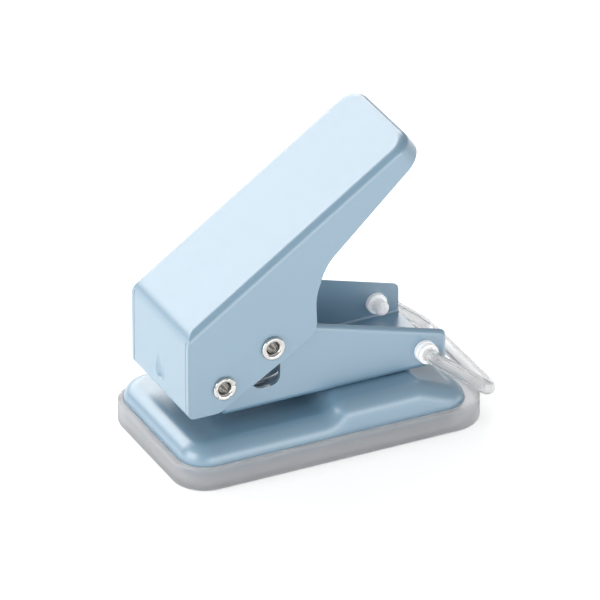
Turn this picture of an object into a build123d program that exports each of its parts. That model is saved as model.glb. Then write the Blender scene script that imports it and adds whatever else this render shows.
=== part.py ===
"""Small one-hole desk punch: pressed-steel base, frame and lever handle, with a chip tray.

Units are millimetres.  +X runs from the front (paper side) to the rear, +Y to the left of a
user facing the front, +Z up.  The origin is the centre of the chip tray's footprint.
"""
from build123d import *
from math import cos, hypot, pi, radians, sin
import os

# ---------------------------------------------------------------- driving dimensions
SHEET = 1.0                     # thickness of all the pressed-steel sheet
SIDE_GAP = 0.75                 # gap between a handle side and a frame ear
RUNNING_CLEARANCE = 0.05        # radial, in every turning or sliding fit

# chip tray
TRAY_LENGTH = 75.0
TRAY_WIDTH = 42.5
TRAY_HEIGHT = 5.8
TRAY_CORNER = 8.0
TRAY_FLOOR = 1.0
TRAY_FOOT_ROUND = 1.1
TRAY_RIM_ROUND = 0.35
TRAY_LEDGE = 1.3                # width of the ledge that the base skirt stands on
SKIRT_CLEARANCE = 0.15          # between the base skirt and the tray wall

# base plate
BASE_FRONT = -36.0
BASE_REAR = 33.6
BASE_HALF_WIDTH = 20.0
BASE_CORNER = 6.5
BASE_SKIRT_BOTTOM = 3.6
SLOT_FLOOR = 10.1               # top of the lowered front part, where the paper lies
PAD_TOP = 13.1                  # top of the raised pad that carries the frame
REAR_TOP = 9.7
PAD_FRONT = 1.6
PAD_REAR = 21.0
SWAGE_RUN = 2.8                 # length of the front step, which is the paper's back stop
REAR_SWAGE_RUN = 8.5
SWAGE_BEND = 4.4                # bend radius at the ends of both steps
BASE_SHOULDER = 4.2

# die ring in the base
DIE_NECK_RADIUS = 4.2
DIE_FLANGE_RADIUS = 5.6
DIE_DEPTH = 1.5

# rivets that hold the frame down
FRAME_RIVET_X = (6.0, 13.0)
FRAME_RIVET_RADIUS = 1.6
FRAME_RIVET_HEAD = 2.9
FRAME_RIVET_HEAD_HEIGHT = 0.8
FRAME_RIVET_CLINCH = 2.4
FRAME_RIVET_CLINCH_HEIGHT = 0.7

# handle
HANDLE_HALF_WIDTH = 14.4
FLAP_FACE = -34.0               # outer face of the folded-down front flap
FLAP_BOTTOM = 15.7
SIDE_BOTTOM = 15.35
SIDE_HEEL_X = -26.3             # where the side's lower edge turns up into the belly
TOP_EDGE_HEIGHT = 35.55        # height of the top plane where it meets the flap face
TOP_SLOPE = 34.4               # degrees, at rest
HANDLE_REACH = 65.95            # along the top plane, from the flap face to the tip
TIP_DEPTH = 5.3                 # depth of the side at the tip
TIP_CORNER = 5.0
THROAT_X = -2.4                 # inner corner between the belly and the upright edge
SWEEP_LOW = (-2.85, 38.5)      # the two corners that the sweep up to the tip rounds off
SWEEP_HIGH = (-0.3, 46.1)
OUTLINE_ROUNDS = (1.6, 12.0, 14.0, 5.0, 3.0)
LONG_EDGE_ROUND = 1.8
FLAP_BEND = 5.0
SEAM = 0.25                     # open seam at each side of the flap
DIMPLE_HALF_WIDTH = 2.3
DIMPLE_DEPTH = 0.65
DIMPLE_LOW = 18.8
DIMPLE_HIGH = 25.2

# frame
FRAME_FRONT = -24.1
WEB_REAR = 22.8
EAR_REAR = 30.6
EAR_REAR_TOP = 21.3
EAR_TOP_FRONT = 34.6
EAR_FALL = 0.29                 # slope of the ear's top edge behind the knee
EAR_NOSE = 5.35                 # reach of the ear in front of the pivot
EAR_FRONT_TOP_X = -20.5
EAR_STEP_X = 15.2
EAR_STEP = 0.3
CHANNEL_BEND = 1.5

# mechanism
PIVOT = (-25.2, 21.4)          # x and z of the front pivot at rest
DRIVE = (-13.4, 28.6)          # x and z of the drive rivet and of the punch axis at rest
SHANK_RADIUS = 1.9              # of both side rivets
PIVOT_SLOT_CLEARANCE = 0.3
SLOT_WIDTH = 6.9                # drive slot in each ear
SLOT_CENTRE_X = -14.15
SLOT_BOTTOM = 18.0
SLOT_CORNER = 2.4
SLOT_TOP = 32.3
SLEEVE_RADIUS = 2.9
SPACER_RADIUS = 2.8
SPACER_PLAY = 0.1

# punch, 6 mm hole
PUNCH_RADIUS = 3.0
PUNCH_TIP = PAD_TOP + 0.4
PUNCH_TOP = 32.7
PUNCH_HOLLOW_RADIUS = 5.0       # of the grinding wheel across the tip
PUNCH_HOLLOW_DEPTH = 1.0
GUIDE_RADIUS = 4.4
GUIDE_FLANGE_RADIUS = 5.6
GUIDE_FLANGE = 0.8
WASHER_BOTTOM = 23.9
WASHER_RADIUS = 5.2
WASHER = 0.8
CLIP = 0.6
CLIP_RADIUS = 4.4
CLIP_MOUTH = 3.4
CLIP_GROOVE_RADIUS = 2.35

# return spring
SPRING_WIRE = 0.35              # radius of the wire
SPRING_WIDE = 10.2              # coil radius on the web
SPRING_NARROW = 3.75            # coil radius under the washer
SPRING_TURNS = 4
SPRING_SEAT_GAP = 0.05
SPRING_POINTS_PER_TURN = 8

# locking bail
BAIL_PIVOT = (24.7, 17.9)
BAIL_BAR = (39.8, 5.9)
BAIL_HALF_WIDTH = 17.1
BAIL_END_BEND = 1.9
BAIL_CORNER_BEND = 3.6
TUBE_RADIUS = 1.65
TUBE_BORE = 0.85
TUBE_GRIP = 1.2                 # length of tube pushed over each plug's nipple
EAR_HOLE_RADIUS = 1.65
PLUG_GAP = 0.1
DISC = 1.2                      # thickness of each of the plug's two discs

# ---------------------------------------------------------------- derived values
INNER_HALF_WIDTH = HANDLE_HALF_WIDTH - SHEET
FRAME_HALF_WIDTH = INNER_HALF_WIDTH - SIDE_GAP
EAR_INSIDE = FRAME_HALF_WIDTH - SHEET
WEB_TOP = PAD_TOP + SHEET
CLIP_BOTTOM = WASHER_BOTTOM + WASHER
ALONG = (cos(radians(TOP_SLOPE)), sin(radians(TOP_SLOPE)))       # up the handle's top
OUTWARD = (-ALONG[1], ALONG[0])                                  # out of the handle's top
SMALL = 0.01
FAR = 60.0                      # past every face of the object, for cutting bodies


def outline(points, radii):
    """Closed face in X and Z (or X and Y) from corner points and their corner radii."""
    return make_face(FilletPolyline(*points, radius=radii, close=True))


def across(face, y_low, y_high):
    """Solid between two Y planes, from a face drawn in X and Z."""
    return extrude(Plane.XZ.offset(-y_high) * face, y_high - y_low)


def upright(face, z_low, z_high):
    """Solid between two heights, from a face drawn in X and Y."""
    return extrude(Plane.XY.offset(z_low) * face, z_high - z_low)


def cross_rod(centre, radius, y_low, y_high):
    """Round bar along Y at a given x and z."""
    return across(Pos(*centre) * Circle(radius), y_low, y_high)


def post(x, radius, z_low, z_high):
    """Round bar along Z on the centre plane."""
    return upright(Pos(x, 0) * Circle(radius), z_low, z_high)


def on_handle(along, depth):
    """Point in X and Z at a distance up the handle's top and a depth under it."""
    return (FLAP_FACE + along * ALONG[0] - depth * OUTWARD[0],
            TOP_EDGE_HEIGHT + along * ALONG[1] - depth * OUTWARD[1])


def turned(profile, centre):
    """Solid of revolution about the Y line through centre, from (y, radius) pairs."""
    face = make_face(Polyline(*[(radius, y) for y, radius in profile], close=True))
    solid = revolve(Plane((0, 0, 0), x_dir=(1, 0, 0), z_dir=(0, 0, 1)) * face, Axis.Y)
    return Pos(centre[0], 0, centre[1]) * solid


# ---------------------------------------------------------------- base group
def chip_tray():
    """Shallow frosted dish; the base skirt stands on a ledge inside its rim."""
    body = upright(RectangleRounded(TRAY_LENGTH, TRAY_WIDTH, TRAY_CORNER), 0, TRAY_HEIGHT)
    body = fillet(body.faces().sort_by(Axis.Z)[0].edges(), TRAY_FOOT_ROUND)
    seat_front = BASE_FRONT - SKIRT_CLEARANCE
    seat_length = BASE_REAR - BASE_FRONT + 2 * SKIRT_CLEARANCE
    seat_width = 2 * (BASE_HALF_WIDTH + SKIRT_CLEARANCE)
    seat_middle = seat_front + seat_length / 2
    seat_face = RectangleRounded(seat_length, seat_width, BASE_CORNER + SKIRT_CLEARANCE)
    seat = upright(Pos(seat_middle, 0) * seat_face, BASE_SKIRT_BOTTOM, TRAY_HEIGHT)
    well_length = seat_length - 2 * TRAY_LEDGE
    well_width = seat_width - 2 * TRAY_LEDGE
    well_corner = BASE_CORNER + SKIRT_CLEARANCE - TRAY_LEDGE
    well_face = RectangleRounded(well_length, well_width, well_corner)
    well = upright(Pos(seat_middle, 0) * well_face, TRAY_FLOOR, TRAY_HEIGHT)
    tray = body - seat - well
    rim = tray.faces().sort_by(Axis.Z)[-1].outer_wire().edges()
    return fillet(rim, TRAY_RIM_ROUND)


def base_block(inset):
    """Solid under the base plate's top surface, with every face moved in by inset."""
    step_front = PAD_FRONT - SWAGE_RUN
    step_rear = PAD_REAR + REAR_SWAGE_RUN
    low = BASE_SKIRT_BOTTOM - (0 if inset == 0 else 1)
    side = outline(
        [(BASE_FRONT, low), (BASE_FRONT, SLOT_FLOOR - inset),
         (step_front + inset / 2, SLOT_FLOOR - inset), (PAD_FRONT + inset / 2, PAD_TOP - inset),
         (PAD_REAR - inset / 2, PAD_TOP - inset), (step_rear - inset / 2, REAR_TOP - inset),
         (BASE_REAR, REAR_TOP - inset), (BASE_REAR, low)],
        [0, 0, SWAGE_BEND + inset / 2, SWAGE_BEND - inset / 2, SWAGE_BEND - inset / 2,
         SWAGE_BEND + inset / 2, 0, 0])
    plan = RectangleRounded(BASE_REAR - BASE_FRONT - 2 * inset, 2 * (BASE_HALF_WIDTH - inset),
                            BASE_CORNER - inset)
    middle = (BASE_FRONT + BASE_REAR) / 2
    block = across(side, -BASE_HALF_WIDTH, BASE_HALF_WIDTH)
    block = block & upright(Pos(middle, 0) * plan, low, PAD_TOP)
    top = block.edges().filter_by(lambda e: is_base_rim(e, inset))
    return fillet(top, BASE_SHOULDER - inset)


def is_base_rim(edge, inset):
    """True for the edges round the top of the base block."""
    low = min(SLOT_FLOOR, REAR_TOP) - inset - SMALL
    box = edge.bounding_box()
    on_top = box.min.Z > low
    runs_across = box.size.Y > 2 * (BASE_HALF_WIDTH - BASE_CORNER) + SMALL
    middle = edge.position_at(0.5)
    at_end = middle.X < BASE_FRONT + inset + SMALL or middle.X > BASE_REAR - inset - SMALL
    return on_top and (not runs_across or at_end)


def base_plate():
    """Pressed base: skirt, lowered paper floor, back-stop step and raised pad."""
    plate = base_block(0) - base_block(SHEET)
    plate -= post(DRIVE[0], DIE_NECK_RADIUS, 0, PAD_TOP)
    for x in FRAME_RIVET_X:
        plate -= post(x, FRAME_RIVET_RADIUS, 0, PAD_TOP + SHEET)
    return plate


def die_ring():
    """Hardened ring in the paper floor that the punch cuts against."""
    ring = post(DRIVE[0], DIE_NECK_RADIUS, SLOT_FLOOR - SHEET, SLOT_FLOOR)
    ring += post(DRIVE[0], DIE_FLANGE_RADIUS, SLOT_FLOOR - SHEET - DIE_DEPTH, SLOT_FLOOR - SHEET)
    return ring - post(DRIVE[0], PUNCH_RADIUS + RUNNING_CLEARANCE, 0, FAR)


def frame_rivets():
    """Two short rivets that hold the frame's web down on the pad."""
    under = PAD_TOP - SHEET
    top = WEB_TOP + FRAME_RIVET_HEAD_HEIGHT
    bottom = under - FRAME_RIVET_CLINCH_HEIGHT
    rivets = []
    for x in FRAME_RIVET_X:
        shank = post(x, FRAME_RIVET_RADIUS, bottom, top)
        head = post(x, FRAME_RIVET_HEAD, WEB_TOP, top)
        head = fillet(head.edges().sort_by(Axis.Z)[-1], 0.6 * FRAME_RIVET_HEAD_HEIGHT)
        clinch = post(x, FRAME_RIVET_CLINCH, bottom, under)
        rivets.append(shank + head + clinch)
    return Compound(children=rivets)


# ---------------------------------------------------------------- frame group
def ear_outline():
    """Side view of the frame: round front, high middle, top edge falling to the rear."""
    nose = PIVOT[0] - EAR_NOSE
    knee_x = EAR_REAR - (EAR_TOP_FRONT - EAR_REAR_TOP) / EAR_FALL
    return outline(
        [(FRAME_FRONT, PAD_TOP), (nose, PAD_TOP + 6.0), (nose, PIVOT[1] + 4.0),
         (EAR_FRONT_TOP_X, EAR_TOP_FRONT), (knee_x, EAR_TOP_FRONT), (EAR_REAR, EAR_REAR_TOP),
         (EAR_REAR, PAD_TOP)],
        [0.3, 4.0, 4.5, 4.0, 6.0, 2.0, 0.3])


def frame():
    """Channel of one sheet: a web on the pad and an ear at each side."""
    channel = across(ear_outline(), -FRAME_HALF_WIDTH, FRAME_HALF_WIDTH)
    bottom = channel.faces().sort_by(Axis.Z)[0]
    channel = fillet(bottom.edges().filter_by(Axis.X), CHANNEL_BEND)
    hollow = Box(2 * FAR, 2 * EAR_INSIDE, FAR, align=(Align.CENTER, Align.CENTER, Align.MIN))
    hollow_bottom = hollow.faces().sort_by(Axis.Z)[0]
    hollow = fillet(hollow_bottom.edges().filter_by(Axis.X), CHANNEL_BEND - SHEET)
    channel -= Pos(0, 0, WEB_TOP) * hollow
    channel -= drive_slot()
    channel -= pivot_slot()
    channel -= cross_rod(BAIL_PIVOT, EAR_HOLE_RADIUS, -FAR, FAR)
    channel -= post(DRIVE[0], GUIDE_RADIUS, 0, FAR)
    for x in FRAME_RIVET_X:
        channel -= post(x, FRAME_RIVET_RADIUS, 0, FAR)
    # behind the step the ears end higher than the web, and the web ends before the ears
    relief = Box(FAR, FAR, EAR_STEP + SHEET, align=(Align.MIN, Align.MIN, Align.MIN))
    web_half_width = EAR_INSIDE - CHANNEL_BEND
    for y in (web_half_width, -web_half_width - FAR):
        channel -= Pos(EAR_STEP_X, y, PAD_TOP - SHEET) * relief
    tail = Box(FAR, 2 * FAR, EAR_STEP + SHEET, align=(Align.MIN, Align.CENTER, Align.MIN))
    return channel - Pos(WEB_REAR, 0, PAD_TOP - SHEET) * tail


def drive_slot():
    """Upright slot through both ears for the drive rivet's stroke."""
    slot = RectangleRounded(SLOT_WIDTH, SLOT_TOP - SLOT_BOTTOM, SLOT_CORNER)
    return across(Pos(SLOT_CENTRE_X, (SLOT_TOP + SLOT_BOTTOM) / 2) * slot, -FAR, FAR)


def arm_length():
    """Distance between the pivot and the drive rivet."""
    return hypot(DRIVE[0] - PIVOT[0], DRIVE[1] - PIVOT[1])


def pivot_slot():
    """Level slot through both ears; the pivot slides forward as the punch stays upright."""
    travel = arm_length() - (DRIVE[0] - PIVOT[0])
    width = 2 * (SHANK_RADIUS + PIVOT_SLOT_CLEARANCE)
    face = Pos(PIVOT[0] - travel / 2, PIVOT[1]) * SlotCenterToCenter(travel, width)
    return across(face, -FAR, FAR)


def guide_bush():
    """Flanged bush in the web that keeps the punch upright."""
    bush = post(DRIVE[0], GUIDE_RADIUS, PAD_TOP, WEB_TOP)
    bush += post(DRIVE[0], GUIDE_FLANGE_RADIUS, WEB_TOP, WEB_TOP + GUIDE_FLANGE)
    return bush - post(DRIVE[0], PUNCH_RADIUS + RUNNING_CLEARANCE, 0, FAR)


# ---------------------------------------------------------------- handle
def handle_profile(inset, bend):
    """Side view of the handle, each outer face moved in by inset; the underside is real
    at inset 0 and dropped well clear for the hollow."""
    front = FLAP_FACE + inset
    slope = ALONG[1] / ALONG[0]
    top_front = (front, TOP_EDGE_HEIGHT + inset * slope - inset / ALONG[0])
    top_tip = on_handle(HANDLE_REACH - inset, inset)
    if inset > 0:
        drop = on_handle(HANDLE_REACH - inset, FAR)
        return outline([(front, -FAR), top_front, top_tip, drop], [0, bend, 0, 0])
    # the belly runs parallel to the line through the two rivets, then sweeps up to the tip
    belly_slope = (DRIVE[1] - PIVOT[1]) / (DRIVE[0] - PIVOT[0])
    heel = (SIDE_HEEL_X, SIDE_BOTTOM)
    throat = (THROAT_X, SIDE_BOTTOM + (THROAT_X - SIDE_HEEL_X) * belly_slope)
    toe_round, high_round, low_round, throat_round, heel_round = OUTLINE_ROUNDS
    return outline(
        [(front, SIDE_BOTTOM), top_front, top_tip, on_handle(HANDLE_REACH, TIP_DEPTH),
         SWEEP_HIGH, SWEEP_LOW, throat, heel],
        [toe_round, bend, 0, 0, high_round, low_round, throat_round, heel_round])


def handle_block(inset):
    """Solid inside one skin of the handle, with rounded long edges and tip."""
    half = HANDLE_HALF_WIDTH - inset
    block = across(handle_profile(inset, 0), -half, half)
    up_handle = Axis(origin=(0, 0, 0), direction=(ALONG[0], 0, ALONG[1]))
    tip_face = block.faces().sort_by(up_handle)[-1]
    uprights = [edge for edge in tip_face.edges() if abs(edge.tangent_at(0.5).Y) < 0.1]
    block = fillet(uprights, TIP_CORNER - inset)
    top_face = block.faces().filter_by(lambda f: faces_outward(f)).sort_by(SortBy.AREA)[-1]
    rims = [edge for edge in top_face.edges() if edge.position_at(0.5).X > FLAP_FACE + inset + 0.5]
    block = fillet(rims, LONG_EDGE_ROUND - inset)
    return block & across(handle_profile(inset, FLAP_BEND - inset / 2), -half, half)


def faces_outward(face):
    """True for a flat face that looks out of the handle's top."""
    if face.geom_type != GeomType.PLANE:
        return False
    normal = face.normal_at()
    return normal.X * OUTWARD[0] + normal.Z * OUTWARD[1] > 0.999


def dimple_former():
    """Upright turned body that presses the teardrop into the middle of the flap."""
    widest = (DIMPLE_HALF_WIDTH ** 2 / DIMPLE_DEPTH + DIMPLE_DEPTH) / 2
    standoff = widest - DIMPLE_DEPTH
    profile = outline(
        [(0, DIMPLE_LOW - 0.4), (widest, DIMPLE_LOW - 0.4), (widest, DIMPLE_LOW + 2.4),
         (standoff, DIMPLE_HIGH), (standoff - 1, DIMPLE_HIGH + 1), (0, DIMPLE_HIGH + 1)],
        [0, 1.8, 3.0, 0, 0, 0])
    return Pos(FLAP_FACE - standoff, 0, 0) * revolve(Plane.XZ * profile, Axis.Z)


def handle():
    """Lever: top, two sides, a closed tip and a flap folded down at the front."""
    shell = handle_block(0) - handle_block(SHEET)
    seam_height = TOP_EDGE_HEIGHT - 1.2
    seam_align = (Align.MIN, Align.CENTER, Align.MIN)
    for side in (1, -1):
        seam = Box(SHEET + 2 * FLAP_BEND, SEAM, seam_height, align=seam_align)
        shell -= Pos(FLAP_FACE - 1, side * (INNER_HALF_WIDTH - SEAM / 2), 0) * seam
    under_flap = Box(2 * SHEET, 2 * (INNER_HALF_WIDTH - SEAM / 2), FLAP_BOTTOM,
                     align=(Align.CENTER, Align.CENTER, Align.MIN))
    shell -= Pos(FLAP_FACE, 0, 0) * under_flap
    inner_side = Box(5, 20, 20, align=(Align.MIN, Align.CENTER, Align.CENTER))
    inner_side = Pos(FLAP_FACE + SHEET - SMALL, 0, (DIMPLE_LOW + DIMPLE_HIGH) / 2) * inner_side
    shell += (Pos(0.9 * SHEET, 0, 0) * dimple_former()) & inner_side
    shell -= dimple_former()
    for centre in (PIVOT, DRIVE):
        shell -= cross_rod(centre, SHANK_RADIUS + RUNNING_CLEARANCE, -FAR, FAR)
    return shell


# ---------------------------------------------------------------- rivets and punch
def side_rivet(centre):
    """Semi-tubular rivet across the handle: rolled end at -Y, plain head at +Y."""
    face = HANDLE_HALF_WIDTH
    body = turned([
        (-face - 0.8, 0), (-face - 0.8, 2.35), (-face - 0.55, 2.75), (-face - 0.15, 2.85),
        (-face, 2.7), (-face, SHANK_RADIUS), (face, SHANK_RADIUS), (face, 3.0),
        (face + 0.35, 3.0), (face + 0.9, 2.2), (face + 1.05, 1.2), (face + 1.05, 0)], centre)
    recess = turned([
        (-face - 0.9, 0), (-face - 0.9, 1.95), (-face - 0.45, 1.6), (-face + 4.0, 1.45),
        (-face + 4.6, 0)], centre)
    return body - recess


def pivot_sleeve():
    """Spacer tube on the pivot rivet between the ears, so riveting can't pinch them."""
    end = EAR_INSIDE - SPACER_PLAY
    tube = cross_rod(PIVOT, SLEEVE_RADIUS, -end, end)
    return tube - cross_rod(PIVOT, SHANK_RADIUS + RUNNING_CLEARANCE, -FAR, FAR)


def drive_spacers():
    """Two tubes on the drive rivet that hold the punch on the centre line."""
    outer = EAR_INSIDE - SPACER_PLAY
    inner = PUNCH_RADIUS + 2 * SPACER_PLAY
    tubes = []
    for low, high in ((-outer, -inner), (inner, outer)):
        tube = cross_rod(DRIVE, SPACER_RADIUS, low, high)
        tubes.append(tube - cross_rod(DRIVE, SHANK_RADIUS + RUNNING_CLEARANCE, -FAR, FAR))
    return Compound(children=tubes)


def punch_pin():
    """6 mm cutting pin with a hollow-ground tip, a cross hole and a clip groove."""
    pin = post(DRIVE[0], PUNCH_RADIUS, PUNCH_TIP, PUNCH_TOP)
    pin = chamfer(pin.edges().sort_by(Axis.Z)[-1], 0.5)
    pin -= cross_rod(DRIVE, SHANK_RADIUS + RUNNING_CLEARANCE, -FAR, FAR)
    groove_top = CLIP_BOTTOM + CLIP + RUNNING_CLEARANCE
    groove = post(DRIVE[0], PUNCH_RADIUS + 1, CLIP_BOTTOM, groove_top)
    pin -= groove - post(DRIVE[0], CLIP_GROOVE_RADIUS, CLIP_BOTTOM, groove_top)
    wheel = Cylinder(PUNCH_HOLLOW_RADIUS, FAR, rotation=(90, 0, 0))
    wheel_height = PUNCH_TIP - PUNCH_HOLLOW_RADIUS + PUNCH_HOLLOW_DEPTH
    return pin - Pos(DRIVE[0], 0, wheel_height) * wheel


def spring_washer():
    """Washer between the spring's top coil and the clip."""
    ring = post(DRIVE[0], WASHER_RADIUS, WASHER_BOTTOM, WASHER_BOTTOM + WASHER)
    return ring - post(DRIVE[0], PUNCH_RADIUS + RUNNING_CLEARANCE, 0, FAR)


def spring_clip():
    """Snap ring in the punch's groove."""
    ring = post(DRIVE[0], CLIP_RADIUS, CLIP_BOTTOM, CLIP_BOTTOM + CLIP)
    ring -= post(DRIVE[0], CLIP_GROOVE_RADIUS + 0.4 * RUNNING_CLEARANCE, 0, FAR)
    mouth = Box(FAR, CLIP_MOUTH, FAR, align=(Align.MIN, Align.CENTER, Align.CENTER))
    return ring - Pos(DRIVE[0], 0, CLIP_BOTTOM) * mouth


def return_spring():
    """Tapered return spring, wide on the web and narrow under the washer."""
    low = WEB_TOP + SPRING_WIRE + SPRING_SEAT_GAP
    high = WASHER_BOTTOM - SPRING_WIRE - SPRING_SEAT_GAP
    steps = SPRING_TURNS * SPRING_POINTS_PER_TURN
    points = []
    for step in range(steps + 1):
        share = step / steps
        angle = -2 * pi * SPRING_TURNS * share
        radius = SPRING_WIDE + (SPRING_NARROW - SPRING_WIDE) * share
        points.append((radius * cos(angle), radius * sin(angle), low + (high - low) * share))
    coil = Spline(*points)
    section = Plane(coil @ 0, z_dir=coil % 0) * Circle(SPRING_WIRE)
    return Pos(DRIVE[0], 0, 0) * sweep(section, path=coil, is_frenet=True)


# ---------------------------------------------------------------- locking bail
def tube_start():
    """Distance from the middle plane to the tube's end face, at the pivot."""
    return FRAME_HALF_WIDTH + PLUG_GAP + 2 * DISC - TUBE_GRIP


def lock_tube():
    """Clear vinyl tube bent into a bail that swings over the closed handle."""
    start = tube_start()
    path = FilletPolyline(
        (BAIL_PIVOT[0], -start, BAIL_PIVOT[1]),
        (BAIL_PIVOT[0], -BAIL_HALF_WIDTH, BAIL_PIVOT[1]),
        (BAIL_BAR[0], -BAIL_HALF_WIDTH, BAIL_BAR[1]),
        (BAIL_BAR[0], BAIL_HALF_WIDTH, BAIL_BAR[1]),
        (BAIL_PIVOT[0], BAIL_HALF_WIDTH, BAIL_PIVOT[1]),
        (BAIL_PIVOT[0], start, BAIL_PIVOT[1]),
        radius=[BAIL_END_BEND, BAIL_CORNER_BEND, BAIL_CORNER_BEND, BAIL_END_BEND])
    section = Circle(TUBE_RADIUS) - Circle(TUBE_BORE)
    return sweep(Plane(path @ 0, z_dir=path % 0) * section, path=path)


def lock_plug(side):
    """Snap-in end fitting: stub and flange inside the ear, two discs outside it."""
    neck = EAR_HOLE_RADIUS - RUNNING_CLEARANCE
    inner = EAR_INSIDE - PLUG_GAP
    outer = FRAME_HALF_WIDTH + PLUG_GAP
    groove = outer + DISC
    socket = tube_start()
    profile = [
        (inner - 4.2, 0), (inner - 4.2, 0.9), (inner - 3.9, 1.4), (inner - 3.3, 1.7),
        (inner - 1.1, 1.7), (inner - 1.1, 2.4), (inner, 2.4), (inner, neck), (outer, neck),
        (outer, 2.5), (groove - 0.1, 2.5), (groove - 0.1, 2.2), (groove + 0.1, 2.2),
        (groove + 0.1, 2.4), (outer + 2 * DISC, 2.4), (outer + 2 * DISC, TUBE_RADIUS),
        (socket, TUBE_RADIUS), (socket, TUBE_BORE), (socket + 1.1, TUBE_BORE), (socket + 1.1, 0)]
    return turned([(side * y, radius) for y, radius in profile], BAIL_PIVOT)


# ---------------------------------------------------------------- write the parts
def save(name, shape):
    """Write one sub-part as a STEP file named after its node."""
    export_step(shape, f"parts/{name}.step")


os.makedirs("parts", exist_ok=True)
save("chip_tray", chip_tray())
save("base_plate", base_plate())
save("die_ring", die_ring())
save("frame_rivets", frame_rivets())
save("frame", frame())
save("guide_bush", guide_bush())
save("handle", handle())
save("pivot_rivet", side_rivet(PIVOT))
save("pivot_sleeve", pivot_sleeve())
save("drive_rivet", side_rivet(DRIVE))
save("drive_spacers", drive_spacers())
save("punch_pin", punch_pin())
save("spring_washer", spring_washer())
save("spring_clip", spring_clip())
save("return_spring", return_spring())
save("lock_tube", lock_tube())
save("lock_plug_near", lock_plug(-1))
save("lock_plug_far", lock_plug(1))
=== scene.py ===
"""One-hole desk punch: finishes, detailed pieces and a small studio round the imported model."""
import math

import bmesh
import bpy
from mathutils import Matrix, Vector


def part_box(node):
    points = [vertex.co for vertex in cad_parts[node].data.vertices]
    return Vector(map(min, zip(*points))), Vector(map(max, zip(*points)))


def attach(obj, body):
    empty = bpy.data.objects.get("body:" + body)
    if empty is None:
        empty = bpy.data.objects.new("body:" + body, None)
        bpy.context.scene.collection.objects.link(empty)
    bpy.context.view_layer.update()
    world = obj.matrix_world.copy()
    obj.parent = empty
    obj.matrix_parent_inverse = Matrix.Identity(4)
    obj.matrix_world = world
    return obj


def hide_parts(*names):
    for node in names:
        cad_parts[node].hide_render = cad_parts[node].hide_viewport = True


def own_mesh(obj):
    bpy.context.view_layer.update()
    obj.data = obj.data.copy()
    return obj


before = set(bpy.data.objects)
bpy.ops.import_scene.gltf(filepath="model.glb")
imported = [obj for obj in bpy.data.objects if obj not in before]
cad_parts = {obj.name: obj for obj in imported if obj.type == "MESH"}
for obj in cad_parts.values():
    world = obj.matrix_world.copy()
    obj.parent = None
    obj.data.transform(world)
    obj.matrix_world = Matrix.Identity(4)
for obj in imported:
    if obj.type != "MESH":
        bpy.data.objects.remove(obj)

bl_info = {
    "name": "Desk Punch",
    "version": (1, 0, 0),
    "blender": (4, 5, 0),
    "location": "3D View > Sidebar > Desk Punch",
    "description": "Dresses a one-hole desk punch and sets up its studio",
    "category": "Object",
}

MM = 0.001                      # metres
SHEET = 1.0 * MM                # thickness of the pressed-steel sheet
COIL_NARROW = 3.75 * MM         # radius of the return spring's top coil
COIL_SEAT = 0.08 * MM           # gap between the end coils and what they stand on
COIL_STEPS = 40                 # points in each turn of the return spring
SHANK_RADIUS = 1.9 * MM         # of both side rivets
SHANK_WALL = 0.5 * MM           # round the hollow end of a side rivet
BORE_DEPTH = 4.0 * MM           # of that hollow, from the handle's near face
NOTCH_PHASE = 0.35              # turns the splits round the lip, in spacings between them
NOTCH_SIDES = 1.6               # half width of a split, in sides of the ring
NOTCH_INWARD = 0.10             # share of the radius that a split cuts away
NOTCH_BACK = 0.22 * MM          # depth of a split along the rivet
FLOOR_HALF = 6.0                # half the floor's width
FLOOR_GAP = 0.1 * MM            # between the floor and the tray
FLOOR_GLOW = 0.52               # light that the floor itself gives
SURROUND = 0.40                 # strength of the white surround
LIGHT_AIM = Vector((0.0, 0.0, 0.03))   # what the softboxes face
FINER = 3.7                     # how many times denser the fine noise of a grain is
NOISE_LOW, NOISE_HIGH = 0.3, 0.7       # the noise values that count as none and all
DRIFT_LOW, DRIFT_HIGH = 0.35, 0.70     # the same, for the slow drift of a colour
EDGE_NONE, EDGE_FULL = 0.995, 0.84     # cosine between a face and its softened normal
EDGE_BREAKUP_DENSITY = 420.0            # of the noise that breaks up the enamel's painted edge highlight, per metre

# sockets of the Mix node, which only differ by number
MIX_SHARE, MIX_FLOAT_FIRST, MIX_FLOAT_SECOND, MIX_FLOAT_RESULT = 0, 2, 3, 0
MIX_COLOUR_FIRST, MIX_COLOUR_SECOND, MIX_COLOUR_RESULT = 6, 7, 2


# ------------------------------------------------------------------ settings
class PaintSettings(bpy.types.PropertyGroup):
    """Blue stove enamel on the base, the frame and the handle."""
    colour: bpy.props.FloatVectorProperty(
        name="Enamel", description="Colour of the enamel", subtype="COLOR",
        size=3, min=0.0, max=1.0, default=(0.188, 0.345, 0.475))
    # painted highlight: paler colour painted along the sheet edges, where they catch the light
    edge_highlight_colour: bpy.props.FloatVectorProperty(
        name="Thin edge", description="Colour where the enamel is thin over a sheared edge",
        subtype="COLOR", size=3, min=0.0, max=1.0, default=(0.72, 0.80, 0.86))
    # share of that painted edge highlight which shows on an edge
    edge_highlight_share: bpy.props.FloatProperty(
        name="Thin edge share", description="How much of the edge colour shows on an edge",
        subtype="FACTOR", min=0.0, max=1.0, default=0.75)
    roughness: bpy.props.FloatProperty(
        name="Roughness", description="Mean roughness of the enamel",
        subtype="FACTOR", min=0.0, max=1.0, default=0.42)
    peel: bpy.props.FloatProperty(
        name="Orange peel", description="Distance between the ripples in the enamel",
        subtype="DISTANCE", unit="LENGTH", min=0.0001, default=0.0011)
    edge: bpy.props.FloatProperty(
        name="Edge softness", description="Radius of the enamel round a sheet's edge",
        subtype="DISTANCE", unit="LENGTH", min=0.0, default=0.00022)


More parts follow.
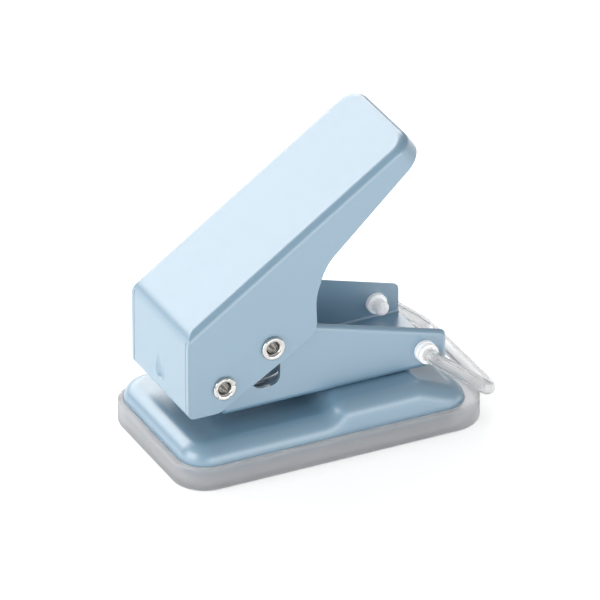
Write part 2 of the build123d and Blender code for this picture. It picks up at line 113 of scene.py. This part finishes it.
class PlasticSettings(bpy.types.PropertyGroup):
    """Frosted tray, clear tube and white plugs."""
    tray_colour: bpy.props.FloatVectorProperty(
        name="Tray", description="Colour of the frosted tray", subtype="COLOR",
        size=3, min=0.0, max=1.0, default=(0.80, 0.81, 0.83))
    tube_colour: bpy.props.FloatVectorProperty(
        name="Tube", description="Colour of the clear tube", subtype="COLOR",
        size=3, min=0.0, max=1.0, default=(0.95, 0.955, 0.96))
    # also the colour of the plugs' painted glow
    plug_colour: bpy.props.FloatVectorProperty(
        name="Plugs", description="Colour of the tube's end plugs", subtype="COLOR",
        size=3, min=0.0, max=1.0, default=(0.96, 0.962, 0.965))
    # painted highlight: paler colour painted on the tray's top rim
    rim_highlight_colour: bpy.props.FloatVectorProperty(
        name="Tray rim", description="Colour of the tray's rim", subtype="COLOR",
        size=3, min=0.0, max=1.0, default=(0.97, 0.975, 0.98))
    rim_highlight_depth: bpy.props.FloatProperty(
        name="Rim depth", description="Height over which the rim's colour fades in",
        subtype="DISTANCE", unit="LENGTH", min=0.0001, default=0.0009)
    rim_highlight_height: bpy.props.FloatProperty(
        name="Rim height", description="Height above which the tray has its rim's colour",
        subtype="DISTANCE", unit="LENGTH", min=0.0, default=0.0056)
    frost: bpy.props.FloatProperty(
        name="Frost grain", description="Size of the grain of the frosted surface",
        subtype="DISTANCE", unit="LENGTH", min=0.00005, default=0.00035)


class MetalSettings(bpy.types.PropertyGroup):
    """Bright and ground steel."""
    nickel_colour: bpy.props.FloatVectorProperty(
        name="Nickel", description="Colour of the nickel plate", subtype="COLOR",
        size=3, min=0.0, max=1.0, default=(0.73, 0.72, 0.70))
    steel_colour: bpy.props.FloatVectorProperty(
        name="Tool steel", description="Colour of the ground steel", subtype="COLOR",
        size=3, min=0.0, max=1.0, default=(0.60, 0.60, 0.61))
    wire_colour: bpy.props.FloatVectorProperty(
        name="Wire", description="Colour of the zinc-plated spring wire", subtype="COLOR",
        size=3, min=0.0, max=1.0, default=(0.74, 0.74, 0.75))


class SpringSettings(bpy.types.PropertyGroup):
    """Tapered return spring round the punch."""
    wire: bpy.props.FloatProperty(
        name="Wire radius", description="Radius of the spring's wire",
        subtype="DISTANCE", unit="LENGTH", min=0.0001, default=0.00033)
    turns: bpy.props.FloatProperty(
        name="Turns", description="Number of turns of the spring", min=1.0, default=4.0)
    dead_turn: bpy.props.FloatProperty(
        name="Dead turn", description="Share of a turn that lies flat at each end",
        subtype="FACTOR", min=0.0, max=1.0, default=0.15)


class RivetSettings(bpy.types.PropertyGroup):
    """Semi-tubular rivets through the handle."""
    lip: bpy.props.FloatProperty(
        name="Rolled lip", description="Radius of the rolled lip's section",
        subtype="DISTANCE", unit="LENGTH", min=0.0001, default=0.00040)
    splits: bpy.props.IntProperty(
        name="Splits", description="Number of small splits in the pivot rivet's rolled lip",
        min=0, default=5)


class StudioSettings(bpy.types.PropertyGroup):
    """Camera, lights and floor."""
    azimuth: bpy.props.FloatProperty(
        name="Azimuth", description="Camera angle round the vertical axis",
        subtype="ANGLE", unit="ROTATION", default=math.radians(-25.98))
    elevation: bpy.props.FloatProperty(
        name="Elevation", description="Camera angle above the horizon",
        subtype="ANGLE", unit="ROTATION", default=math.radians(29.0))
    distance: bpy.props.FloatProperty(
        name="Distance", description="Distance from the camera to the point it looks at",
        subtype="DISTANCE", unit="LENGTH", min=0.1, default=1.975)
    lens: bpy.props.FloatProperty(
        name="Lens", description="Focal length in millimetres", min=10.0, default=532.1)
    aim_right: bpy.props.FloatProperty(
        name="Aim right", description="Aim point to the right of the tray's centre",
        subtype="DISTANCE", unit="LENGTH", default=0.00026)
    aim_up: bpy.props.FloatProperty(
        name="Aim up", description="Aim point above the tray's centre, across the view",
        subtype="DISTANCE", unit="LENGTH", default=0.02641)
    floor_colour: bpy.props.FloatVectorProperty(
        name="Floor", description="Colour of the floor", subtype="COLOR",
        size=3, min=0.0, max=1.0, default=(0.93, 0.93, 0.93))


class PunchSettings(bpy.types.PropertyGroup):
    """All the settings of the desk punch."""
    paint: bpy.props.PointerProperty(type=PaintSettings)
    plastic: bpy.props.PointerProperty(type=PlasticSettings)
    metal: bpy.props.PointerProperty(type=MetalSettings)
    spring: bpy.props.PointerProperty(type=SpringSettings)
    rivets: bpy.props.PointerProperty(type=RivetSettings)
    studio: bpy.props.PointerProperty(type=StudioSettings)


# ------------------------------------------------------------------ shader node groups
def start_group(name, inputs, outputs):
    """Empty shader group with its sockets; inputs are (socket type, name, default)."""
    group = bpy.data.node_groups.new(name, "ShaderNodeTree")
    for kind, label, default in inputs:
        socket = group.interface.new_socket(name=label, in_out="INPUT", socket_type=kind)
        socket.default_value = default
    for kind, label in outputs:
        group.interface.new_socket(name=label, in_out="OUTPUT", socket_type=kind)
    return group, group.nodes.new("NodeGroupInput"), group.nodes.new("NodeGroupOutput")


def put(tree, kind, **values):
    """New node with its attributes set."""
    node = tree.nodes.new(kind)
    for name, value in values.items():
        setattr(node, name, value)
    return node


def tune(node, **values):
    """Node with sockets set by name, where an underscore stands for a space."""
    for label, value in values.items():
        node.inputs[label.replace("_", " ")].default_value = value
    return node


def grain_group():
    """Fine surface relief: two sizes of noise in object space."""
    group, given, result = start_group(
        "Surface grain",
        [("NodeSocketFloat", "Size", 0.001), ("NodeSocketFloat", "Fine share", 0.3)],
        [("NodeSocketFloat", "Height")])
    place = put(group, "ShaderNodeTexCoord")
    turns = put(group, "ShaderNodeMath", operation="DIVIDE")
    turns.inputs[0].default_value = 1.0
    finer = put(group, "ShaderNodeMath", operation="MULTIPLY")
    finer.inputs[1].default_value = FINER
    broad = tune(put(group, "ShaderNodeTexNoise", noise_dimensions="3D"), Detail=1.5)
    fine = tune(put(group, "ShaderNodeTexNoise", noise_dimensions="3D"), Detail=2.0)
    blend = put(group, "ShaderNodeMix", data_type="FLOAT")
    link = group.links.new
    link(given.outputs["Size"], turns.inputs[1])
    link(turns.outputs[0], broad.inputs["Scale"])
    link(turns.outputs[0], finer.inputs[0])
    link(finer.outputs[0], fine.inputs["Scale"])
    link(place.outputs["Object"], broad.inputs["Vector"])
    link(place.outputs["Object"], fine.inputs["Vector"])
    link(given.outputs["Fine share"], blend.inputs[MIX_SHARE])
    link(broad.outputs["Fac"], blend.inputs[MIX_FLOAT_FIRST])
    link(fine.outputs["Fac"], blend.inputs[MIX_FLOAT_SECOND])
    link(blend.outputs[MIX_FLOAT_RESULT], result.inputs["Height"])
    return group


def drift_group():
    """Slow change of a colour over the surface, as from film thickness or handling."""
    group, given, result = start_group(
        "Tone drift",
        [("NodeSocketColor", "Colour", (0.5, 0.5, 0.5, 1.0)),
         ("NodeSocketColor", "Second colour", (0.6, 0.6, 0.6, 1.0)),
         ("NodeSocketFloat", "Size", 0.02), ("NodeSocketFloat", "Amount", 0.3)],
        [("NodeSocketColor", "Colour")])
    place = put(group, "ShaderNodeTexCoord")
    turns = put(group, "ShaderNodeMath", operation="DIVIDE")
    turns.inputs[0].default_value = 1.0
    cloud = tune(put(group, "ShaderNodeTexNoise", noise_dimensions="3D"), Detail=3.0)
    patches = tune(put(group, "ShaderNodeMapRange", interpolation_type="SMOOTHSTEP"),
                   From_Min=DRIFT_LOW, From_Max=DRIFT_HIGH)
    share = put(group, "ShaderNodeMath", operation="MULTIPLY")
    blend = put(group, "ShaderNodeMix", data_type="RGBA")
    link = group.links.new
    link(given.outputs["Size"], turns.inputs[1])
    link(turns.outputs[0], cloud.inputs["Scale"])
    link(place.outputs["Object"], cloud.inputs["Vector"])
    link(cloud.outputs["Fac"], patches.inputs["Value"])
    link(patches.outputs["Result"], share.inputs[0])
    link(given.outputs["Amount"], share.inputs[1])
    link(share.outputs[0], blend.inputs[MIX_SHARE])
    link(given.outputs["Colour"], blend.inputs[MIX_COLOUR_FIRST])
    link(given.outputs["Second colour"], blend.inputs[MIX_COLOUR_SECOND])
    link(blend.outputs[MIX_COLOUR_RESULT], result.inputs["Colour"])
    return group


def edge_group():
    """Mask that is 1 on sharp outer edges, broken up by noise."""
    group, given, result = start_group(
        "Edge mask",
        [("NodeSocketFloat", "Radius", 0.0003), ("NodeSocketFloat", "Break up", 0.4)],
        [("NodeSocketFloat", "Mask"), ("NodeSocketVector", "Normal")])
    bevel = put(group, "ShaderNodeBevel", samples=6)
    shape = put(group, "ShaderNodeNewGeometry")
    facing = put(group, "ShaderNodeVectorMath", operation="DOT_PRODUCT")
    lift = tune(put(group, "ShaderNodeMapRange", interpolation_type="SMOOTHSTEP"),
                From_Min=EDGE_NONE, From_Max=EDGE_FULL)
    place = put(group, "ShaderNodeTexCoord")
    edge_breakup = tune(put(group, "ShaderNodeTexNoise", noise_dimensions="3D"),
                Scale=EDGE_BREAKUP_DENSITY, Detail=4.0)
    keep = put(group, "ShaderNodeMath", operation="MULTIPLY")
    left = put(group, "ShaderNodeMath", operation="SUBTRACT", use_clamp=True)
    link = group.links.new
    link(given.outputs["Radius"], bevel.inputs["Radius"])
    link(bevel.outputs["Normal"], facing.inputs[0])
    link(shape.outputs["Normal"], facing.inputs[1])
    link(facing.outputs["Value"], lift.inputs["Value"])
    link(place.outputs["Object"], edge_breakup.inputs["Vector"])
    link(edge_breakup.outputs["Fac"], keep.inputs[0])
    link(given.outputs["Break up"], keep.inputs[1])
    link(lift.outputs["Result"], left.inputs[0])
    link(keep.outputs[0], left.inputs[1])
    link(left.outputs[0], result.inputs["Mask"])
    link(bevel.outputs["Normal"], result.inputs["Normal"])
    return group


def line_group():
    """Fine lines along one axis, as ground, drawn or turned metal has."""
    group, given, result = start_group(
        "Tool lines",
        [("NodeSocketVector", "Density", (900.0, 900.0, 60.0))],
        [("NodeSocketFloat", "Lines")])
    place = put(group, "ShaderNodeTexCoord")
    squeeze = put(group, "ShaderNodeVectorMath", operation="MULTIPLY")
    lines = tune(put(group, "ShaderNodeTexNoise", noise_dimensions="3D"),
                 Scale=1.0, Detail=3.0)
    link = group.links.new
    link(place.outputs["Object"], squeeze.inputs[0])
    link(given.outputs["Density"], squeeze.inputs[1])
    link(squeeze.outputs["Vector"], lines.inputs["Vector"])
    link(lines.outputs["Fac"], result.inputs["Lines"])
    return group


def shared_group(name):
    """One of the shared groups, built on first use."""
    makers = {"Surface grain": grain_group, "Tone drift": drift_group,
              "Edge mask": edge_group, "Tool lines": line_group}
    return bpy.data.node_groups.get(name) or makers[name]()


# ------------------------------------------------------------------ materials
def start_material(name):
    """New material with its Principled shader."""
    material = bpy.data.materials.new(name)
    material.use_nodes = True
    return material, material.node_tree.nodes["Principled BSDF"]


def add_group(material, name, **values):
    """A shared group placed in a material with this material's own values."""
    node = put(material.node_tree, "ShaderNodeGroup", node_tree=shared_group(name))
    return tune(node, **values)


def spread(material, source, low, high):
    """Roughness that runs from low to high with a noise."""
    node = tune(put(material.node_tree, "ShaderNodeMapRange"),
                From_Min=NOISE_LOW, From_Max=NOISE_HIGH, To_Min=low, To_Max=high)
    material.node_tree.links.new(source, node.inputs["Value"])
    return node.outputs["Result"]


def blended(material, share, source, colour):
    """Colour that runs from a source to a fixed colour as share goes from 0 to 1."""
    link = material.node_tree.links.new
    node = put(material.node_tree, "ShaderNodeMix", data_type="RGBA")
    node.inputs[MIX_COLOUR_SECOND].default_value = with_alpha(colour)
    link(share, node.inputs[MIX_SHARE])
    link(source, node.inputs[MIX_COLOUR_FIRST])
    return node.outputs[MIX_COLOUR_RESULT]


def drifting(material, colour, darker, size, amount):
    """Colour that goes part of the way to a darker share of itself, in patches of a size."""
    colour = Vector(colour)
    tone = add_group(material, "Tone drift", Colour=with_alpha(colour),
                     Second_colour=with_alpha(colour * darker), Size=size, Amount=amount)
    return tone.outputs["Colour"]


def relief(material, shader, height, strength, distance, normal=None):
    """Bump from a height, on top of another normal if there is one."""
    bump = tune(put(material.node_tree, "ShaderNodeBump"), Strength=strength, Distance=distance)
    material.node_tree.links.new(height, bump.inputs["Height"])
    if normal is not None:
        material.node_tree.links.new(normal, bump.inputs["Normal"])
    material.node_tree.links.new(bump.outputs["Normal"], shader.inputs["Normal"])


def with_alpha(colour):
    """Colour with an alpha of 1."""
    return (*colour, 1.0)


def enamel(settings):
    """Satin blue enamel with faint orange peel and a painted highlight: a paler colour along the
    sheet edges.
    """
    material, shader = start_material("Blue enamel")
    link = material.node_tree.links.new
    tone = drifting(material, settings.colour, darker=0.955, size=0.021, amount=0.6)
    # painted highlight: the edge mask pales the enamel along every sheet edge
    edge = add_group(material, "Edge mask", Radius=settings.edge, Break_up=0.35)
    grain = add_group(material, "Surface grain", Size=settings.peel, Fine_share=0.25)
    soften = put(material.node_tree, "ShaderNodeMath", operation="MULTIPLY")
    soften.inputs[1].default_value = settings.edge_highlight_share
    link(edge.outputs["Mask"], soften.inputs[0])
    paint = blended(material, soften.outputs[0], tone, settings.edge_highlight_colour)
    link(paint, shader.inputs["Base Color"])
    rough = spread(material, grain.outputs["Height"],
                   settings.roughness - 0.04, settings.roughness + 0.05)
    link(rough, shader.inputs["Roughness"])
    tune(shader, IOR=1.65, Specular_IOR_Level=1.0,
         Coat_Weight=1.0, Coat_IOR=1.7, Coat_Roughness=0.30)
    relief(material, shader, grain.outputs["Height"], strength=0.10, distance=0.00006,
           normal=edge.outputs["Normal"])
    return material


def frosted(settings):
    """Frosted translucent plastic with a fine texture and a painted highlight: a paler colour on
    its top rim.
    """
    material, shader = start_material("Frosted plastic")
    link = material.node_tree.links.new
    tone = drifting(material, settings.tray_colour, darker=0.95, size=0.017, amount=0.7)
    grain = add_group(material, "Surface grain", Size=settings.frost, Fine_share=0.5)
    edge = add_group(material, "Edge mask", Radius=0.00045, Break_up=0.3)
    place = put(material.node_tree, "ShaderNodeTexCoord")
    height = put(material.node_tree, "ShaderNodeSeparateXYZ")
    # painted highlight: the tray turns to the rim's paler colour above a height
    rim = put(material.node_tree, "ShaderNodeMapRange", interpolation_type="SMOOTHSTEP")
    tune(rim, From_Min=settings.rim_highlight_height - settings.rim_highlight_depth, From_Max=settings.rim_highlight_height)
    link(place.outputs["Object"], height.inputs[0])
    link(height.outputs["Z"], rim.inputs["Value"])
    plastic = blended(material, rim.outputs["Result"], tone, settings.rim_highlight_colour)
    link(plastic, shader.inputs["Base Color"])
    rough = spread(material, grain.outputs["Height"], low=0.34, high=0.50)
    link(rough, shader.inputs["Roughness"])
    tune(shader, IOR=1.50, Transmission_Weight=0.80)
    relief(material, shader, grain.outputs["Height"], strength=0.25, distance=0.00004,
           normal=edge.outputs["Normal"])
    return material


def clear_tube(settings):
    """Clear flexible tube, slightly cloudy and faintly uneven."""
    material, shader = start_material("Clear vinyl")
    link = material.node_tree.links.new
    tone = drifting(material, settings.tube_colour, darker=0.96, size=0.006, amount=0.8)
    grain = add_group(material, "Surface grain", Size=0.0016, Fine_share=0.2)
    link(tone, shader.inputs["Base Color"])
    rough = spread(material, grain.outputs["Height"], low=0.10, high=0.22)
    link(rough, shader.inputs["Roughness"])
    tune(shader, IOR=1.44, Transmission_Weight=0.84)
    relief(material, shader, grain.outputs["Height"], strength=0.2, distance=0.00005)
    return material


def plug_plastic(settings):
    """White moulded plastic that lets a little light in, with a faint painted glow from its
    emission.
    """
    material, shader = start_material("White plug plastic")
    link = material.node_tree.links.new
    tone = drifting(material, settings.plug_colour, darker=0.94, size=0.003, amount=0.6)
    grain = add_group(material, "Surface grain", Size=0.0005, Fine_share=0.4)
    edge = add_group(material, "Edge mask", Radius=0.00018, Break_up=0.2)
    link(tone, shader.inputs["Base Color"])
    rough = spread(material, grain.outputs["Height"], low=0.30, high=0.42)
    link(rough, shader.inputs["Roughness"])
    # painted glow: the plugs emit a little light of their own colour so they look brighter
    tune(shader, Subsurface_Weight=0.35, Subsurface_Scale=0.001,
         Emission_Color=with_alpha(settings.plug_colour), Emission_Strength=0.24)
    relief(material, shader, grain.outputs["Height"], strength=0.15, distance=0.00003,
           normal=edge.outputs["Normal"])
    return material


def metal(name, colour, low, high, density, darker):
    """Steel with tool lines, a slow change of tone and roughness from low to high."""
    material, shader = start_material(name)
    link = material.node_tree.links.new
    tone = drifting(material, colour, darker, size=0.0022, amount=0.7)
    lines = add_group(material, "Tool lines", Density=density)
    edge = add_group(material, "Edge mask", Radius=0.00012, Break_up=0.2)
    link(tone, shader.inputs["Base Color"])
    link(spread(material, lines.outputs["Lines"], low, high), shader.inputs["Roughness"])
    tune(shader, Metallic=1.0)
    relief(material, shader, lines.outputs["Lines"], strength=0.12, distance=0.00002,
           normal=edge.outputs["Normal"])
    return material


def dress(piece, material):
    """Gives a piece, or a CAD node, one material."""
    piece.data.materials.clear()
    piece.data.materials.append(material)


# ------------------------------------------------------------------ mesh helpers
def settings_of(context):
    """This object's settings on the scene."""
    return context.scene.desk_punch


def object_from(name, mesh, body, material):
    """Object for a finished mesh, with its body and its finish."""
    piece = bpy.data.objects.new(name, mesh)
    bpy.context.scene.collection.objects.link(piece)
    for face in mesh.polygons:
        face.use_smooth = True
    dress(piece, material)
    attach(piece, body)
    return piece


def tube_mesh(name, points, radius, sides=14):
    """Round wire through points, closed at both ends by small domes."""
    domes = ((0.45, 0.75), (0.85, 0.45))   # radius and reach past the end, in wire radii
    mesh = bpy.data.meshes.new(name)
    build = bmesh.new()
    rings = []
    count = len(points)
    side = Vector((0.0, 0.0, 1.0))
    stations = [(0, share, -reach) for share, reach in domes]
    stations += [(i, 1.0, 0.0) for i in range(count)]
    stations += [(count - 1, share, reach) for share, reach in reversed(domes)]
    for i, share, push in stations:
        along = (points[min(i + 1, count - 1)] - points[max(i - 1, 0)]).normalized()
        across = along.cross(side).normalized()
        up = across.cross(along).normalized()
        centre = points[i] + along * push * radius
        ring = []
        for k in range(sides):
            angle = 2 * math.pi * k / sides
            reach = across * math.cos(angle) + up * math.sin(angle)
            ring.append(build.verts.new(centre + reach * radius * share))
        rings.append(ring)
    for lower, upper in zip(rings, rings[1:]):
        for k in range(sides):
            build.faces.new((lower[k], lower[k - 1], upper[k - 1], upper[k]))
    build.faces.new(rings[0])
    build.faces.new(list(reversed(rings[-1])))
    bmesh.ops.recalc_face_normals(build, faces=build.faces)
    build.to_mesh(mesh)
    build.free()
    return mesh


def rivet_profile(stand, outer, lip):
    """Outlines of a side rivet: its near end, then its head.

    The near end has (distance out of the handle's face, radius, how far the splits cut in),
    from the bottom of the bore out over the rolled lip. The head has (distance out, radius).
    """
    bore = SHANK_RADIUS - SHANK_WALL
    rim = outer - 0.2 * MM
    roll = rim - lip
    near = [
        (-BORE_DEPTH, 0.0, 0.0), (-BORE_DEPTH, 0.55 * bore, 0.0),
        (-0.9 * BORE_DEPTH, 0.92 * bore, 0.0), (-0.25 * BORE_DEPTH, bore, 0.0),
        (0.1 * MM, bore + 0.04 * MM, 0.05), (0.4 * MM, bore + 0.15 * MM, 0.2),
        (0.86 * stand, bore + 0.42 * MM, 0.5), (stand, roll - 0.2 * MM, 0.8),
        (stand, roll + 0.05 * MM, 1.0), (0.93 * stand, roll + 0.25 * MM, 1.0),
        (0.66 * stand, rim - 0.04 * MM, 1.0), (0.4 * stand, rim, 1.0),
        (0.12 * stand, rim - 0.1 * MM, 0.9), (0.0, rim - 0.3 * MM, 0.6),
        (0.0, SHANK_RADIUS, 0.0)]
    head = [
        (0.0, SHANK_RADIUS), (0.0, outer - 0.1 * MM), (0.12 * MM, outer), (0.3 * MM, outer),
        (0.62 * MM, outer - 0.4 * MM), (0.9 * MM, outer - 1.1 * MM),
        (1.02 * MM, outer - 1.9 * MM)]
    return near, head


def rivet_mesh(name, node, lip, splits, sides=96):
    """Semi-tubular rivet along Y: rolled lip at -Y, hollow shank end and a domed head at +Y."""
    low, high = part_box(node)
    centre = (low + high) / 2
    face_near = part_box("handle")[0].y
    face_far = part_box("handle")[1].y
    near, head = rivet_profile(face_near - low.y, (high.z - low.z) / 2, lip)
    profile = [(face_near - out, radius, cut) for out, radius, cut in near]
    profile += [(face_far + out, radius, 0.0) for out, radius in head]
    profile.append((high.y, 0.0, 0.0))
    mesh = bpy.data.meshes.new(name)
    build = bmesh.new()
    rings = []
    for y, radius, cut in profile:
        if radius == 0.0:
            rings.append([build.verts.new((centre.x, y, centre.z))])
            continue
        ring = []
        for k in range(sides):
            angle = 2 * math.pi * k / sides
            notch = 0.0
            if splits:
                phase = (k * splits / sides + NOTCH_PHASE) % 1.0
                sides_off = abs(phase - 0.5) * sides / splits
                notch = max(0.0, 1 - sides_off / NOTCH_SIDES) * cut
            reach = radius * (1 - NOTCH_INWARD * notch)
            ring.append(build.verts.new((centre.x + reach * math.cos(angle),
                                         y + NOTCH_BACK * notch,
                                         centre.z + reach * math.sin(angle))))
        rings.append(ring)
    for lower, upper in zip(rings, rings[1:]):
        for k in range(sides):
            if len(lower) == 1:
                build.faces.new((lower[0], upper[k], upper[k - 1]))
            elif len(upper) == 1:
                build.faces.new((lower[k], lower[k - 1], upper[0]))
            else:
                build.faces.new((lower[k], lower[k - 1], upper[k - 1], upper[k]))
    bmesh.ops.recalc_face_normals(build, faces=build.faces)
    build.to_mesh(mesh)
    build.free()
    return mesh


# ------------------------------------------------------------------ operators
class PUNCH_OT_finishes(bpy.types.Operator):
    """Put the enamel, plastic and metal on the solid parts"""
    bl_idname = "punch.finishes"
    bl_label = "Finishes"

    def execute(self, context):
        settings = settings_of(context)
        blue = enamel(settings.paint)
        white = plug_plastic(settings.plastic)
        metals = settings.metal
        nickel = metal("Bright nickel", metals.nickel_colour, low=0.09, high=0.20,
                       density=(700.0, 260.0, 700.0), darker=0.86)
        tool = metal("Ground tool steel", metals.steel_colour, low=0.22, high=0.38,
                     density=(260.0, 260.0, 2400.0), darker=0.82)
        wire = metal("Zinc wire", metals.wire_colour, low=0.18, high=0.32,
                     density=(600.0, 600.0, 600.0), darker=0.88)
        plan = {
            "base_plate": blue, "frame": blue, "handle": blue,
            "chip_tray": frosted(settings.plastic),
            "lock_tube": clear_tube(settings.plastic),
            "frame_rivets": nickel, "pivot_rivet": nickel, "drive_rivet": nickel,
            "pivot_sleeve": nickel, "drive_spacers": nickel, "spring_washer": nickel,
            "punch_pin": tool, "die_ring": tool, "guide_bush": tool,
            "return_spring": wire, "spring_clip": wire,
            "lock_plug_near": white, "lock_plug_far": white,
        }
        for node, material in plan.items():
            dress(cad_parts[node], material)
        return {"FINISHED"}


class PUNCH_OT_return_spring(bpy.types.Operator):
    """Wind the tapered return spring with flat end turns"""
    bl_idname = "punch.return_spring"
    bl_label = "Return spring"

    def execute(self, context):
        settings = settings_of(context).spring
        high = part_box("return_spring")[1]
        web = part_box("guide_bush")[0].z + SHEET
        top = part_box("spring_washer")[0].z
        pin_low, pin_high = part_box("punch_pin")
        middle_x = (pin_low.x + pin_high.x) / 2
        wide = (high.x - middle_x) - 2 * settings.wire
        bottom_z = web + settings.wire + COIL_SEAT
        top_z = top - settings.wire - COIL_SEAT
        steps = int(settings.turns * COIL_STEPS)
        dead = settings.dead_turn / settings.turns
        points = []
        for i in range(steps + 1):
            share = i / steps
            rise = min(max((share - dead) / (1 - 2 * dead), 0.0), 1.0)
            angle = -2 * math.pi * settings.turns * share
            reach = wide + (COIL_NARROW - wide) * share
            points.append(Vector((middle_x + reach * math.cos(angle),
                                  reach * math.sin(angle),
                                  bottom_z + (top_z - bottom_z) * rise)))
        mesh = tube_mesh("return_spring_wire", points, settings.wire)
        material = bpy.data.materials["Zinc wire"]
        piece = object_from("return_spring_wire", mesh, "base", material)
        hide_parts("return_spring")
        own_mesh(piece)
        return {"FINISHED"}


class PUNCH_OT_rivets(bpy.types.Operator):
    """Turn the two semi-tubular side rivets with their rolled lips"""
    bl_idname = "punch.rivets"
    bl_label = "Side rivets"

    def execute(self, context):
        settings = settings_of(context).rivets
        material = bpy.data.materials["Bright nickel"]
        for node, splits in (("pivot_rivet", settings.splits), ("drive_rivet", 0)):
            mesh = rivet_mesh(node + "_turned", node, settings.lip, splits)
            piece = object_from(node + "_turned", mesh, "handle", material)
            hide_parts(node)
        return {"FINISHED"}


class PUNCH_OT_studio(bpy.types.Operator):
    """Set up the camera, the pale floor and the soft lights"""
    bl_idname = "punch.studio"
    bl_label = "Studio"

    def execute(self, context):
        settings = settings_of(context).studio
        scene = context.scene
        scene.view_settings.view_transform = "Standard"
        self.camera(scene, settings)
        self.floor(scene, settings)
        self.lights(scene)
        return {"FINISHED"}

    def camera(self, scene, settings):
        """Long lens at the product view."""
        azimuth, elevation = settings.azimuth, settings.elevation
        back = Vector((math.sin(azimuth) * math.cos(elevation),
                       -math.cos(azimuth) * math.cos(elevation), math.sin(elevation)))
        right = Vector((math.cos(azimuth), math.sin(azimuth), 0.0))
        up = back.cross(right)
        aim = right * settings.aim_right + up * settings.aim_up
        data = bpy.data.cameras.new("Camera")
        data.lens = settings.lens
        data.clip_start = 0.05
        data.clip_end = 20.0
        camera = bpy.data.objects.new("Camera", data)
        camera.location = aim + back * settings.distance
        camera.rotation_mode = "QUATERNION"
        camera.rotation_quaternion = (-back).to_track_quat("-Z", "Y")
        scene.collection.objects.link(camera)
        scene.camera = camera

    def floor(self, scene, settings):
        """Large pale floor under the tray."""
        mesh = bpy.data.meshes.new("floor")
        build = bmesh.new()
        bmesh.ops.create_grid(build, x_segments=8, y_segments=8, size=FLOOR_HALF)
        build.to_mesh(mesh)
        build.free()
        floor = bpy.data.objects.new("floor", mesh)
        floor.location.z = -FLOOR_GAP
        scene.collection.objects.link(floor)
        material, shader = start_material("Pale floor")
        grain = add_group(material, "Surface grain", Size=0.004, Fine_share=0.4)
        pale = with_alpha(settings.floor_colour)
        tune(shader, Base_Color=pale, Emission_Color=pale, Emission_Strength=FLOOR_GLOW)
        rough = spread(material, grain.outputs["Height"], low=0.75, high=0.85)
        material.node_tree.links.new(rough, shader.inputs["Roughness"])
        dress(floor, material)

    def lights(self, scene):
        """Large softboxes and a bright surround."""
        world = bpy.data.worlds.new("Surround")
        world.use_nodes = True
        tune(world.node_tree.nodes["Background"], Color=(1.0, 1.0, 1.0, 1.0), Strength=SURROUND)
        scene.world = world
        # name, position, width, height, power
        boxes = (("key", (-1.05, -0.15, 0.42), 0.9, 0.7, 5.6),
                 ("back", (-0.10, 1.20, 0.72), 2.0, 0.95, 16.5),
                 ("front", (0.25, -1.25, 0.16), 1.4, 0.45, 4.6))
        for name, place, width, height, power in boxes:
            data = bpy.data.lights.new(name, "AREA")
            data.shape = "RECTANGLE"
            data.size = width
            data.size_y = height
            data.energy = power
            light = bpy.data.objects.new(name, data)
            light.location = place
            light.rotation_mode = "QUATERNION"
            towards = LIGHT_AIM - Vector(place)
            light.rotation_quaternion = towards.to_track_quat("-Z", "Y")
            scene.collection.objects.link(light)


class PUNCH_PT_panel(bpy.types.Panel):
    """Sidebar panel that lists the punch's operators"""
    bl_label = "Desk Punch"
    bl_idname = "PUNCH_PT_panel"
    bl_space_type = "VIEW_3D"
    bl_region_type = "UI"
    bl_category = "Desk Punch"

    def draw(self, context):
        for operator in OPERATORS:
            self.layout.operator(operator.bl_idname)
        settings = settings_of(context)
        for group in (settings.paint, settings.plastic, settings.metal,
                      settings.spring, settings.rivets, settings.studio):
            box = self.layout.box()
            for name in group.__annotations__:
                box.prop(group, name)


OPERATORS = (PUNCH_OT_finishes, PUNCH_OT_return_spring, PUNCH_OT_rivets, PUNCH_OT_studio)
SETTINGS = (PaintSettings, PlasticSettings, MetalSettings, SpringSettings, RivetSettings,
            StudioSettings, PunchSettings)


def register():
    """Registers the classes and puts the settings on the scene."""
    for cls in SETTINGS + OPERATORS + (PUNCH_PT_panel,):
        bpy.utils.register_class(cls)
    bpy.types.Scene.desk_punch = bpy.props.PointerProperty(type=PunchSettings)


def unregister():
    """Takes the settings and the classes away again."""
    del bpy.types.Scene.desk_punch
    for cls in reversed(SETTINGS + OPERATORS + (PUNCH_PT_panel,)):
        bpy.utils.unregister_class(cls)


def main():
    """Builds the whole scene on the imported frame."""
    register()
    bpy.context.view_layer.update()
    bpy.ops.punch.finishes()
    bpy.ops.punch.return_spring()
    bpy.ops.punch.rivets()
    bpy.ops.punch.studio()


if __name__ == "__main__":
    main()
